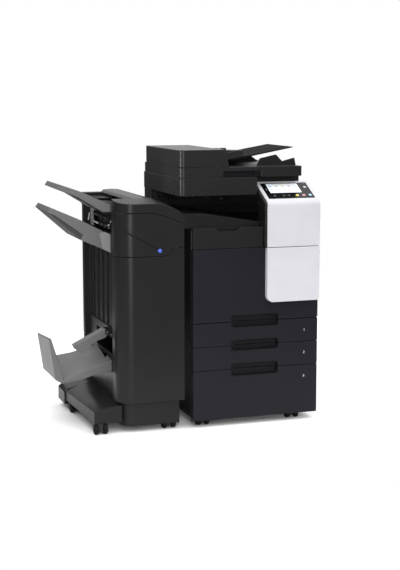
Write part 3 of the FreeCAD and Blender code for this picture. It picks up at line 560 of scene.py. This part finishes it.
def drum(centre, axis, radius, length, rim=0.001, sides=40, hub=0.0, dish=0.0):
    """A turned disc or rod with rounded rims; a hub radius and a dish sink its faces."""
    half = length / 2
    profile = [(0.0, -half)]
    if dish:
        sunk = -half + dish
        profile = [(0.0, sunk), (hub, sunk), (radius * 0.82, sunk), (radius * 0.88, -half)]
    profile += [(radius - rim, -half), (radius - rim * 0.3, -half + rim * 0.3), (radius, -half + rim)]
    profile += [(r, -z) for r, z in reversed(profile)]
    bm = bmesh.new()
    turn = Vector((0, 0, 1)).rotation_difference(Vector(axis)).to_matrix()
    rings = []
    for r, z in profile:
        if r == 0:
            rings.append([bm.verts.new(centre + turn @ Vector((0, 0, z)))])
            continue
        rings.append([bm.verts.new(centre + turn @ Vector((r * math.cos(a), r * math.sin(a), z)))
                      for a in (2 * math.pi * k / sides for k in range(sides))])
    for low, high in zip(rings, rings[1:]):
        for k in range(sides):
            n = (k + 1) % sides
            if len(low) == 1:
                bm.faces.new((low[0], high[n], high[k]))
            elif len(high) == 1:
                bm.faces.new((low[k], low[n], high[0]))
            else:
                bm.faces.new((low[k], low[n], high[n], high[k]))
    bmesh.ops.recalc_face_normals(bm, faces=bm.faces)
    return bm


def merge(*meshes):
    """Several meshes as one."""
    whole = bmesh.new()
    for bm in meshes:
        part = bpy.data.meshes.new("part")
        bm.to_mesh(part)
        bm.free()
        whole.from_mesh(part)
        bpy.data.meshes.remove(part)
    return whole


def lettered(text, size, place, name):
    """A raised figure on a front face."""
    curve = bpy.data.curves.new(name, "FONT")
    curve.body = text
    curve.size = size
    curve.extrude = 0.00012
    curve.align_x = "CENTER"
    curve.align_y = "CENTER"
    holder = linked(name + "_text", curve)
    mesh = evaluated(holder)
    bpy.data.objects.remove(holder)
    mesh.transform(Matrix.Translation(place) @ Matrix.Rotation(math.pi / 2, 4, "X"))
    mesh.materials.clear()
    mesh.materials.append(finish("print_white"))
    return linked(name, mesh)


# ---------------------------------------------------------------------------- repeating pieces
def row_tree():
    """A tree that repeats a unit along a line and gives the row one material."""
    tree = bpy.data.node_groups.new("Row of units", "GeometryNodeTree")
    for name, kind in (("Unit", "Object"), ("Count", "Int"), ("Step", "Vector"), ("Finish", "Material")):
        tree.interface.new_socket(name, in_out="INPUT", socket_type="NodeSocket" + kind)
    tree.interface.new_socket("Geometry", in_out="OUTPUT", socket_type="NodeSocketGeometry")
    nodes = Nodes(tree)
    given = nodes.node("NodeGroupInput").outputs
    line = nodes.node("GeometryNodeMeshLine", {"mode": "OFFSET"},
                      {"Count": given["Count"], "Offset": given["Step"]})
    unit = nodes.node("GeometryNodeObjectInfo", None, {"Object": given["Unit"]})
    row = nodes.node("GeometryNodeInstanceOnPoints", None,
                     {"Points": line.outputs["Mesh"], "Instance": unit.outputs["Geometry"]})
    real = nodes.node("GeometryNodeRealizeInstances", None, {"Geometry": row.outputs["Instances"]})
    paint = nodes.node("GeometryNodeSetMaterial", None,
                       {"Geometry": real.outputs["Geometry"], "Material": given["Finish"]})
    nodes.node("NodeGroupOutput", None, {"Geometry": paint.outputs["Geometry"]})
    return tree


def repeated(name, unit_mesh, count, step, look, body):
    """Make a row of units as one plain mesh that rides on a body."""
    tree = bpy.data.node_groups.get("Row of units") or row_tree()
    unit = new_object(name + "_unit", unit_mesh)
    item = linked(name, bpy.data.meshes.new(name))
    change = item.modifiers.new("Row", "NODES")
    change.node_group = tree
    sockets = {s.name: s.identifier for s in tree.interface.items_tree if s.in_out == "INPUT"}
    for socket, value in (("Unit", unit), ("Count", count), ("Step", step), ("Finish", finish(look))):
        change[sockets[socket]] = value
    apply_modifiers(item)
    bpy.data.objects.remove(unit)
    return settle(item, body)


def dress(node, look):
    """Give a CAD node that keeps its own shape its finish."""
    mesh = FRAME["nodes"][node].data
    mesh.materials.clear()
    mesh.materials.append(finish(look))


# ---------------------------------------------------------------------------- operators
class Step:
    """What every step's operator shares."""
    bl_options = {"REGISTER", "UNDO"}


def piece(name, bm, look, body, replaces=(), weighted=True):
    """A finished piece from mesh work."""
    return settle(new_object(name, bm, look), body, replaces, weighted)


# The finger grips, in millimetres: their sides and depth, the lip round the liner and its corners' radius.
GRIP_LEFT, GRIP_RIGHT, GRIP_DEEP = 167, 382, 19.4
GRIP_LIP, GRIP_CORNER = 3.0, 13.0
GRIP_CORNER_STEPS = 8
GRIPS = (  # name, body, height at the seam, height at the closed end
    ("door_grip", "front_door", 446.3, 475),
    ("drawer_1_grip", "drawer_1", 443.7, 419),
    ("drawer_1_lower_grip", "drawer_1", 345.3, 369),
    ("drawer_2_grip", "drawer_2", 342.7, 319),
    ("drawer_2_lower_grip", "drawer_2", 244.3, 268),
    ("drawer_3_grip", "drawer_3", 241.7, 211),
)
FIGURE_X = 499
FIGURE_HEIGHTS = {"1": 394, "2": 296.5, "3": 193}


def grip_line(seam, end):
    """A grip's inner edge from one end of its seam to the other, each point with its outward direction."""
    sign = 1 if end > seam else -1
    left, right = GRIP_LEFT + GRIP_LIP, GRIP_RIGHT - GRIP_LIP
    stop = end - sign * GRIP_LIP
    line = [(left, seam, -1, 0)]
    for k in range(GRIP_CORNER_STEPS + 1):
        a = math.pi / 2 * k / GRIP_CORNER_STEPS
        line.append((left + GRIP_CORNER * (1 - math.cos(a)), stop - sign * GRIP_CORNER * (1 - math.sin(a)),
                     -math.cos(a), sign * math.sin(a)))
    return line + [(left + right - x, z, -nx, nz) for x, z, nx, nz in reversed(line)]


def grip_cup(name, body, seam, end):
    """Half of a finger grip: a liner that rounds the recess's corners and slopes its walls, and its back,
    both near-black as painted shade of the recess.
    """
    bm = bmesh.new()
    rows = []
    for x, z, nx, nz in grip_line(seam, end):
        outward = Vector((nx, 0, nz))
        reach_x = ((GRIP_LEFT if nx < 0 else GRIP_RIGHT) - x) / nx if abs(nx) > 0.01 else math.inf
        reach_z = (end - z) / nz if abs(nz) > 0.01 else math.inf
        wall = min(reach_x, reach_z)
        # The liner's section, in millimetres outward from the line and deep.
        section = ((wall, GRIP_DEEP), (wall, 0.3), (0.4, 0.3), (-0.8, 1.2), (-4.5, GRIP_DEEP - 1.5),
                   (-7.0, GRIP_DEEP))
        rows.append([bm.verts.new(at(x, deep, z) + outward * out * MM) for out, deep in section])
    for near, far in zip(rows, rows[1:]):
        for j in range(len(near)):
            m = (j + 1) % len(near)
            bm.faces.new((near[j], near[m], far[m], far[j]))
    bm.faces.new(rows[0])
    bm.faces.new(list(reversed(rows[-1])))
    bmesh.ops.recalc_face_normals(bm, faces=bm.faces)
    piece(name, bm, "grip_black", body)
    inset = 0.5
    back = solid_block(at(GRIP_LEFT + inset, GRIP_DEEP - 0.6, min(seam, end) + inset),
                       at(GRIP_RIGHT - inset, GRIP_DEEP + 0.4, max(seam, end) - inset), 0)
    piece(name + "_back", back, "grip_black", body)


class COPIER_OT_front(bpy.types.Operator, Step):
    """Drawers, lower door and white panel."""
    bl_idname = "copier.front"
    bl_label = "Drawers and door"

    def execute(self, context):
        size = context.scene.copier_detail.digit_size
        for number, height in FIGURE_HEIGHTS.items():
            body = "drawer_" + number
            soften(body + "_front", "front_charcoal", body)
            dress(body + "_tray", "tray_dark")
            figure = lettered(number, size, at(FIGURE_X, -0.05, height), body + "_figure")
            settle(figure, body, weighted=False)
        soften("front_door", "front_charcoal", "front_door")
        soften("white_door_trim", "white", "front_door", 0.0035, 4)
        for grip in GRIPS:
            grip_cup(*grip)
        return {"FINISHED"}


def output_space():
    """What lines the space where prints come out: a notch liner and a dark back, both painted shade, then
    mechanism, rollers and sensor.
    """
    # A near-black liner inside the finger notch: painted shade of the notch.
    notch = slab_y([(111, 829), (191.5, 829), (203.5, 842.6), (102.5, 842.6)], 12.6, 13.8)
    piece("notch_liner", notch, "grip_black", "machine")
    # A black sheet at the back of the output space: painted shade of its depth.
    shade_back = solid_block(at(-29, 486.6, 903), at(470, 488.6, 971), 0)
    piece("output_space_back", shade_back, "black", "machine")
    unit = merge(solid_block(at(40, 470, 925), at(210, 486, 950), 0.003),
                 solid_block(at(240, 476, 912), at(330, 486, 935), 0.002),
                 solid_block(at(-8, 440, 940), at(44, 486, 968), 0.004))
    piece("output_space_unit", unit, "charcoal", "machine")
    wheel = drum(at(60, 466, 936), (1, 0, 0), 0.006, 0.012, rim=0.001, sides=24)
    repeated("output_rollers", wheel, 6, (0.03, 0, 0), "rubber", "machine")
    sensor = drum(at(285, 462, 925), (0, 1, 0), 0.0045, 0.006, rim=0.0015, sides=24)
    piece("output_sensor", sensor, "tray_grey", "machine")


def rear_wall(detail):
    """Two vents and two rows of screws on the rear cover."""
    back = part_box("cabinet_covers")[1].y
    for name, x, z in (("upper", 300, 760), ("lower", 90, 250)):
        low = at(x, 0, z)
        low.y = back - 0.0008
        slat = solid_block(low, low + Vector((0.15, 0.0015, 0.0045)), 0.0006)
        repeated("rear_vent_" + name, slat, detail.vent_count, (0, 0, detail.vent_pitch), "black", "machine")
    for name, z in (("low", 62), ("high", 950)):
        centre = at(16, 0, z)
        centre.y = back
        screw = drum(centre, (0, 1, 0), 0.0042, 0.003, rim=0.0006, sides=20)
        repeated("rear_screws_" + name, screw, 5, (0.1322, 0, 0), "polished_steel", "machine")


class COPIER_OT_cabinet(bpy.types.Operator, Step):
    """Frame, covers, right door, vents and screws."""
    bl_idname = "copier.cabinet"
    bl_label = "Cabinet"

    def execute(self, context):
        dress("cabinet_frame", "steel")
        for node in ("cabinet_covers", "upper_housing", "inner_tray_front_cover"):
            soften(node)
        soften("inner_output_tray")
        output_space()
        for node in ("right_door", "hand_feed_tray"):
            soften(node, body=node)
        for node in ("laser_unit", "drum_units", "transfer_belt_unit", "stapling_and_folding_units"):
            dress(node, "unit_black")
        dress("toner_cartridges", "toner")
        for node in ("fuser_unit", "power_supply"):
            dress(node, "steel")
        rear_wall(context.scene.copier_detail)
        low, high = at(0, 66, 500), at(0, 84, 620)
        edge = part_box("right_door")[1].x
        low.x, high.x = edge - 0.006, edge - 0.0002
        piece("right_door_handle", solid_block(low, high, 0.002, 3), "black", "right_door")
        return {"FINISHED"}


KEY_RADIUS, KEY_THICK, KEY_TOP = 0.007, 0.003, -0.7
KEYS = (  # node, finish, place to the right and place up the slope of the panel in millimetres
    ("reset_key", "key_yellow", 467, 49),
    ("stop_key", "key_pink", 497, 49),
    ("start_key", "key_blue", 526, 49),
    ("power_key", "key_grey", 524, 113),
)
MARKS = (  # printed marks on the panel: left, right, low and high
    (360, 372, 51, 53.2), (362, 370, 45, 47), (402, 414, 51, 53.2), (404, 412, 45, 47),
    (424, 436, 51, 53.2), (426, 434, 45, 47), (514, 521, 60, 61), (344, 347, 92, 108),
)


def on_slope(x0, x1, low, high, under, over, width=0.0):
    """A box laid on the sloping panel, its sides in millimetres and its edges' radius in metres."""
    bm = solid_block(Vector((0, 0, 0)), Vector((x1 - x0, high - low, over - under)) * MM, width)
    bmesh.ops.rotate(bm, verts=bm.verts, cent=(0, 0, 0), matrix=Matrix.Rotation(LEAN, 3, "X"))
    bmesh.ops.translate(bm, verts=bm.verts, vec=on_panel(x0, low, under))
    return bm


class COPIER_OT_column(bpy.types.Operator, Step):
    """White column, control housing, glass, screen and keys."""
    bl_idname = "copier.column"
    bl_label = "Control column"

    def execute(self, context):
        soften("upper_white_cover", "white", "machine", 0.003, 4)
        soften("control_pod", "black", "machine")
        pane = new_object("panel_pane", welded("panel_glass"), "panel_glass")
        window = on_slope(SCREEN_LEFT, SCREEN_RIGHT, SCREEN_LOW, SCREEN_HIGH, -6, 2)
        carve(pane, new_object("cutter", window))
        settle(pane, "machine", ("panel_glass",))
        gap = 0.15
        screen = on_slope(SCREEN_LEFT + gap, SCREEN_RIGHT - gap, SCREEN_LOW + gap, SCREEN_HIGH - gap,
                          -9.6, -0.25, 0.0003)
        piece("screen_face", screen, "screen", "machine", ("touch_display",))
        for key, look, x, along in KEYS:
            cap = drum(on_panel(x, along, KEY_TOP), OUTWARD, KEY_RADIUS, KEY_THICK, rim=0.0008, sides=36)
            piece(key + "_cap", cap, look, key, (key,))
        marks = merge(*[on_slope(*mark, -0.4, 0.06) for mark in MARKS])
        piece("panel_marks", marks, "print_grey", "machine", weighted=False)
        lamp = on_slope(522, 528, 138, 139.5, -0.4, 0.08)
        piece("panel_lamp", lamp, "lamp_blue", "machine", weighted=False)
        return {"FINISHED"}


def guide_highlight(guide, side):
    """A pale strip along the top of a paper guide, on the side where the paper lies: a painted highlight on
    the guide's top edge.
    """
    low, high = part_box(guide)
    thick = 0.0062
    y = high.y - thick if side == "back" else low.y
    strip = solid_block(Vector((low.x + 0.006, y, high.z - 0.0031)),
                        Vector((high.x - 0.008, y + thick, high.z - 0.0002)), 0.0005)
    piece(guide + "_edge", strip, "tray_grey", guide)


class COPIER_OT_scanner(bpy.types.Operator, Step):
    """Scanner housing, document feeder, its tray and guides."""
    bl_idname = "copier.scanner"
    bl_label = "Scanner and feeder"

    def execute(self, context):
        soften("scanner_housing", width=0.003, segments=3)
        dress("platen_glass", "clear_glass")
        dress("scan_carriage", "unit_black")
        soften("feeder_lid", "charcoal", "feeder_lid", 0.0018, 3)
        soften("feeder_head_cover", "charcoal", "feeder_head_cover", 0.003, 3)
        soften("document_tray", "tray_matte", "document_tray", 0.0012)
        # A near-black pad behind the lid grip's ridges: painted shade of the grip's recess.
        pad = solid_block(at(155, 82.4, 1048.2), at(322, 83.8, 1072), 0)
        piece("lid_grip_back", pad, "grip_black", "feeder_lid")
        ridge = solid_block(at(299, 74, 1049), at(301.5, 83, 1071.5), 0.0008)
        repeated("lid_grip_ridges", ridge, 4, (0.0055, 0, 0), "charcoal", "feeder_lid")
        for guide, side in (("front_paper_guide", "back"), ("back_paper_guide", "front")):
            soften(guide, "tray_dark", guide, 0.0008)
            guide_highlight(guide, side)
        return {"FINISHED"}


TREAD_WIDE = 0.017
AXLE_RADIUS = 0.00295


def caster_wheel(body):
    """Two dished tyres on an axle, in place of a caster's plain wheel."""
    low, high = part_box(body)
    middle = (low + high) / 2
    half = (high.x - low.x) / 2
    radius = (high.z - low.z) / 2
    discs = [drum(middle + Vector((side * (half - TREAD_WIDE / 2), 0, 0)), (1, 0, 0), radius, TREAD_WIDE,
                  rim=0.004, sides=48, hub=0.004, dish=0.003) for side in (-1, 1)]
    axle = drum(middle, (1, 0, 0), AXLE_RADIUS, half * 2 - 0.02, rim=0.0003, sides=20)
    piece(body + "_tread", merge(*discs, axle), "caster_tyre", body, (body,))


class COPIER_OT_undercarriage(bpy.types.Operator, Step):
    """Casters with twin treads, forks and levelling feet."""
    bl_idname = "copier.undercarriage"
    bl_label = "Undercarriage"

    def execute(self, context):
        dress("caster_forks_and_feet", "black")
        for joint in FRAME["joints"]:
            if joint["name"].endswith("_spin") and "roller" not in joint["name"]:
                caster_wheel(joint["child"])
        return {"FINISHED"}


def tilted_bar(start, end, radius):
    """A thin round bar between two points."""
    way = end - start
    return drum((start + end) / 2, way.normalized(), radius, way.length, rim=radius * 0.5, sides=16)


def side_recess():
    """Ribs and a post inside the recess of the finisher's left side."""
    rib = solid_block(at(-299, 196, 414), at(-291.5, 200, 812), 0.0012)
    repeated("side_recess_ribs", rib, 5, (0, 0.082, 0), "charcoal", "machine")
    post = solid_block(at(-299.5, 184.5, 413), at(-291.5, 192, 814), 0.002)
    piece("side_recess_post", post, "charcoal", "machine")


def exit_opening():
    """What shows in the finisher's exit opening: black plates that paint its shade, levers, and flaps in a
    tray grey darkened as painted shade.
    """
    # A black sheet at the back of the opening: painted shade of its depth.
    back = solid_block(at(-262, 125, 808), at(-259, 604, 900), 0.0005)
    piece("exit_back_plate", back, "black", "machine")
    # A black plate beside the side wall: painted shade inside the opening.
    shade_cheek = solid_block(at(-297.8, 560, 815.5), at(-296.6, 589.8, 895.5), 0.0003)
    piece("exit_cheek", shade_cheek, "black", "machine")
    levers = merge(tilted_bar(at(-301, 562, 869), at(-301, 588, 836), 0.0022),
                   tilted_bar(at(-300, 186, 868), at(-300, 226, 832), 0.0022),
                   tilted_bar(at(-290, 262, 846), at(-290, 280, 838), 0.0032))
    piece("exit_levers", levers, "polished_steel", "machine")
    # The flaps take the tray grey darkened as painted shade under the upper tray.
    flaps = merge(solid_block(at(-299, 300, 868), at(-280, 505, 876), 0.003, 3),
                  solid_block(at(-299, 176, 868), at(-280, 258, 876), 0.003, 3))
    piece("exit_flaps", flaps, "tray_grey_dark", "machine")


def exit_rollers():
    """The shaft across the exit opening and its four tyres."""
    low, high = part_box("exit_rollers")
    middle = (low + high) / 2
    shaft = drum(middle, (0, 1, 0), 0.004, high.y - low.y, rim=0.0005, sides=24)
    piece("exit_shaft", shaft, "polished_steel", "exit_rollers", ("exit_rollers",))
    first = Vector((middle.x, at(0, 215, 0).y, middle.z))
    tyre = drum(first, (0, 1, 0), 0.01, 0.03, rim=0.0015, sides=32)
    repeated("exit_roller_tyres", tyre, 4, (0, 0.0667, 0), "rubber", "exit_rollers")


def exit_trough():
    """The floor and the paper fingers of the trough beside the upper exit tray."""
    finger = solid_block(at(-292, 462, 938), at(-236, 474, 943), 0.0015)
    repeated("paper_fingers", finger, 5, (0, 0.028, 0), "charcoal", "machine")
    floor = solid_block(at(-294, 452, 906), at(-232, 596, 909), 0.0005)
    piece("trough_floor", floor, "black", "machine")


class COPIER_OT_finisher(bpy.types.Operator, Step):
    """Finisher shells, side wall with its recess, base and rollers."""
    bl_idname = "copier.finisher"
    bl_label = "Finisher"

    def execute(self, context):
        dress("finisher_frame", "steel")
        soften("finisher_front_door", body="finisher_front_door")
        soften("finisher_mid_panel")
        soften("finisher_top_cover", width=0.002, segments=3)
        soften("finisher_top_lid", width=0.002, segments=3)
        soften("finisher_rear_cover")
        side_recess()
        exit_opening()
        exit_trough()
        # A near-black liner in the slanted groove on the finisher's front: painted shade of the groove.
        groove = slab_y([(-301, 852), (-301, 846), (-155, 765.5), (-152.6, 769.6)], 2.0, 2.9)
        piece("groove_liner", groove, "grip_black", "machine")
        exit_rollers()
        soften("finisher_base", width=0.003, segments=3)
        low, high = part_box("indicator_lamp")
        lens = drum((low + high) / 2, (0, 1, 0), (high.x - low.x) / 2, high.y - low.y, rim=0.003)
        piece("indicator_lens", lens, "lamp_blue", "machine", ("indicator_lamp",))
        return {"FINISHED"}


# The line under which each tray gets painted shade, seen from the front, in millimetres.
UPPER_TRAY_SHADE_LINE = ((-524, 1004), (-440, 970), (-334, 905), (-230, 904))
STACKING_TRAY_SHADE_LINE = ((-567, 914), (-535, 902), (-474, 858), (-421, 818), (-334, 754), (-300, 734))


def shade_underside(node, body, line, inset):
    """A tray whose faces under a line, where they lie further in than its sides, take a darker copy of its
    grey as painted shade.
    """
    item = soften(node, "tray_grey", body, 0.0011)
    # The second finish is a darker copy of the tray grey: painted shade.
    item.data.materials.append(finish("tray_grey_dark"))
    points = [at(x, 0, z) for x, z in line]
    low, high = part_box(node)
    for face in item.data.polygons:
        spot = face.center
        if not low.y + inset * MM < spot.y < high.y - inset * MM:
            continue
        for a, b in zip(points, points[1:]):
            if a.x <= spot.x <= b.x and spot.z < a.z + (b.z - a.z) * (spot.x - a.x) / (b.x - a.x):
                face.material_index = 1


def lit_fold_patch():
    """A paler patch at the finisher end of the stacking tray's near side: painted light where the tray's fold
    catches the light.
    """
    bm = slab_y([(-352, 819), (-330, 825), (-301, 812), (-301, 734), (-338, 754)], 178.6, 180.4)
    bmesh.ops.bevel(bm, geom=bm.edges[:], offset=0.0006, segments=2, affect="EDGES")
    piece("stacking_tray_guard", bm, "tray_light", "stacking_tray")


class COPIER_OT_trays(bpy.types.Operator, Step):
    """Exit trays with painted shade under them, a paler patch of painted light at the stacking tray's fold,
    booklet tray and flap.
    """
    bl_idname = "copier.trays"
    bl_label = "Finisher trays"

    def execute(self, context):
        shade_underside("upper_exit_tray", "machine", UPPER_TRAY_SHADE_LINE, -5)
        shade_underside("stacking_tray", "stacking_tray", STACKING_TRAY_SHADE_LINE, 5)
        lit_fold_patch()
        soften("booklet_tray", "tray_grey", "machine", 0.003, 4)
        soften("booklet_flap", "tray_grey", "booklet_flap", 0.0012)
        return {"FINISHED"}


# ---------------------------------------------------------------------------- studio
FLOOR_SIZE = (2.4, 1.6, 1)
FLOOR_CENTRE = (0, 0.4, 0)
WHITE = (1, 1, 1, 1)
FILL_LIGHT = 0.12
LIGHTS = (  # name, azimuth in degrees, height, distance, width, length, power
    ("top", 0, 6.0, 0.01, 12.0, 12.0, 1000),
    ("corner", -15, 1.25, 3.4, 0.28, 2.3, 80),
    ("front", 24, 3.0, 4.6, 2.4, 1.4, 40),
    ("right", 80, 1.6, 3.6, 1.2, 2.4, 50),
    ("back", 170, 2.9, 5.5, 5.0, 3.0, 50),
    ("left", -62, 1.9, 3.6, 2.0, 2.0, 20),
    ("edge", -72, 0.75, 2.6, 0.2, 1.4, 80),
)
LIGHT_TARGET = Vector((0, 0, 0.65))
LIT_BY_EDGE = ("feeder_head_cover_shell", "feeder_lid_shell", "scanner_housing_shell")
CAMERA_PLACE = (-1600.7, -4900.6, 1400.2)
CAMERA_TURN, CAMERA_DIP = 18.4, 8.7
LENS_MM, SENSOR_MM = 79.705, 36


def lay_floor():
    """A pale matte floor."""
    bm = bmesh.new()
    bmesh.ops.create_grid(bm, x_segments=1, y_segments=1, size=1.0)
    bmesh.ops.scale(bm, vec=FLOOR_SIZE, verts=bm.verts)
    bmesh.ops.translate(bm, verts=bm.verts, vec=FLOOR_CENTRE)
    floor = new_object("studio_floor", bm)
    paint = Surface("studio_floor")
    tone = paint.mix(paint.noise(0.4), (0.9, 0.9, 0.9, 1), (0.94, 0.94, 0.94, 1))
    paint.feed(base_color=tone, roughness=0.9, specular_ior_level=0.0)
    floor.data.materials.append(paint.material)


def light_world(scene):
    """A white background that lights the object only faintly."""
    scene.world = bpy.data.worlds.new("Studio")
    scene.world.use_nodes = True
    scene.world.node_tree.nodes.clear()
    sky = Nodes(scene.world.node_tree)
    seen = sky.node("ShaderNodeLightPath").outputs["Is Camera Ray"]
    soft = sky.node("ShaderNodeBackground", None, {"Color": WHITE, "Strength": FILL_LIGHT})
    plain = sky.node("ShaderNodeBackground", None, {"Color": WHITE, "Strength": 1.0})
    both = sky.node("ShaderNodeMixShader", None, {0: seen, 1: soft.outputs[0], 2: plain.outputs[0]})
    sky.node("ShaderNodeOutputWorld", None, {"Surface": both.outputs[0]})


def hang_light(name, azimuth, height, distance, wide, tall, power):
    """A soft rectangular light that faces the object and isn't seen itself."""
    data = bpy.data.lights.new(name, "AREA")
    data.shape = "RECTANGLE"
    data.size = wide
    data.size_y = tall
    data.energy = power
    lamp = linked("light_" + name, data)
    angle = math.radians(azimuth)
    lamp.location = Vector((math.sin(angle) * distance, -math.cos(angle) * distance, height))
    lamp.rotation_euler = (LIGHT_TARGET - lamp.location).to_track_quat("-Z", "Y").to_euler()
    lamp.visible_camera = False
    return lamp


def place_camera(scene):
    """The camera, left of the front and looking slightly down."""
    data = bpy.data.cameras.new("camera")
    data.lens = LENS_MM
    data.sensor_width = SENSOR_MM
    data.clip_end = 60
    camera = linked("camera", data)
    camera.location = at(*CAMERA_PLACE)
    side, down = math.radians(CAMERA_TURN), math.radians(CAMERA_DIP)
    look = Vector((math.sin(side) * math.cos(down), math.cos(side) * math.cos(down), -math.sin(down)))
    camera.rotation_mode = "QUATERNION"
    camera.rotation_quaternion = look.to_track_quat("-Z", "Y")
    scene.camera = camera


class COPIER_OT_stage(bpy.types.Operator, Step):
    """Pale floor, soft studio lights and the camera."""
    bl_idname = "copier.stage"
    bl_label = "Studio"

    def execute(self, context):
        scene = context.scene
        lay_floor()
        light_world(scene)
        lamps = {light[0]: hang_light(*light) for light in LIGHTS}
        lit = bpy.data.collections.new("lit_by_edge")
        for shell in LIT_BY_EDGE:
            lit.objects.link(bpy.data.objects[shell])
        lamps["edge"].light_linking.receiver_collection = lit
        place_camera(scene)
        scene.view_settings.view_transform = "Standard"
        return {"FINISHED"}


class COPIER_PT_panel(bpy.types.Panel):
    """Lists the steps and the sizes."""
    bl_idname = "COPIER_PT_panel"
    bl_label = "Photocopier"
    bl_space_type = "VIEW_3D"
    bl_region_type = "UI"
    bl_category = "Copier"

    def draw(self, context):
        for settings in (context.scene.copier_finish, context.scene.copier_detail):
            for name in settings.bl_rna.properties.keys():
                if name not in ("rna_type", "name"):
                    self.layout.prop(settings, name)
        for step in STEPS:
            self.layout.operator(step.bl_idname)


STEPS = (COPIER_OT_cabinet, COPIER_OT_front, COPIER_OT_column, COPIER_OT_scanner, COPIER_OT_undercarriage,
         COPIER_OT_finisher, COPIER_OT_trays, COPIER_OT_stage)
CLASSES = (CopierFinish, CopierDetail, *STEPS, COPIER_PT_panel)


def register():
    """Add the classes and the scene's two groups of settings."""
    for item in CLASSES:
        bpy.utils.register_class(item)
    bpy.types.Scene.copier_finish = bpy.props.PointerProperty(type=CopierFinish)
    bpy.types.Scene.copier_detail = bpy.props.PointerProperty(type=CopierDetail)


def unregister():
    """Take away what register added."""
    del bpy.types.Scene.copier_detail
    del bpy.types.Scene.copier_finish
    for item in reversed(CLASSES):
        bpy.utils.unregister_class(item)


def main():
    """Make every piece."""
    register()
    for step in STEPS:
        group, name = step.bl_idname.split(".")
        if getattr(getattr(bpy.ops, group), name)() != {"FINISHED"}:
            raise RuntimeError(step.bl_label + " did not finish")


if __name__ == "__main__":
    main()
